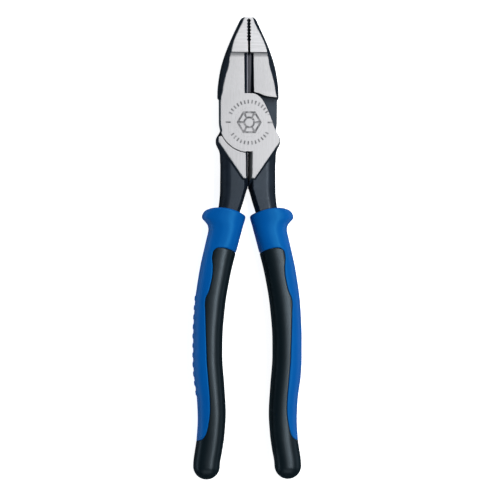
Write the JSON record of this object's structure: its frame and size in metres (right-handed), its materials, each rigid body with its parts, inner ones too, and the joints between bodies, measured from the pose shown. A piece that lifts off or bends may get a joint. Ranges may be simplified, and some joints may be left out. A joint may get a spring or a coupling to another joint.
{
  "type": "lineman pliers",
  "caption": "High-leverage lineman pliers with a blunt toothed nose, side cutters, a round riveted lap joint and curved two-material grips with flared guards.",
  "frame": {"origin": "centre of the footprint of the closed tool lying on its back, on the surface it lies on", "axes": "+Y from the handles to the nose, +Z from the surface through the joint to the face seen by the viewer, +X to the viewer's right"},
  "size_m": [0.0567, 0.2385, 0.0164],
  "materials": {
    "forged_steel": "ground bright on the faces, black forging scale on the sides and necks",
    "rivet_steel": "ground flush with the head",
    "hard_grip": "semi-gloss blue",
    "soft_grip": "satin black soft moulding"
  },
  "bodies": {
    "rear_assembly": {"rear_half": "forged_steel", "joint_rivet": "rivet_steel", "left_grip_sleeve": "hard_grip", "left_grip_overmold": "soft_grip"},
    "front_assembly": {"front_half": "forged_steel", "right_grip_sleeve": "hard_grip", "right_grip_overmold": "soft_grip"}
  },
  "joints": [
    {"name": "opening", "type": "hinge", "parent": "rear_assembly", "child": "front_assembly", "pos_m": [0, 0.0649, 0.0082], "axis": [0, 0, 1], "range_deg": [0, 38]}
  ]
}
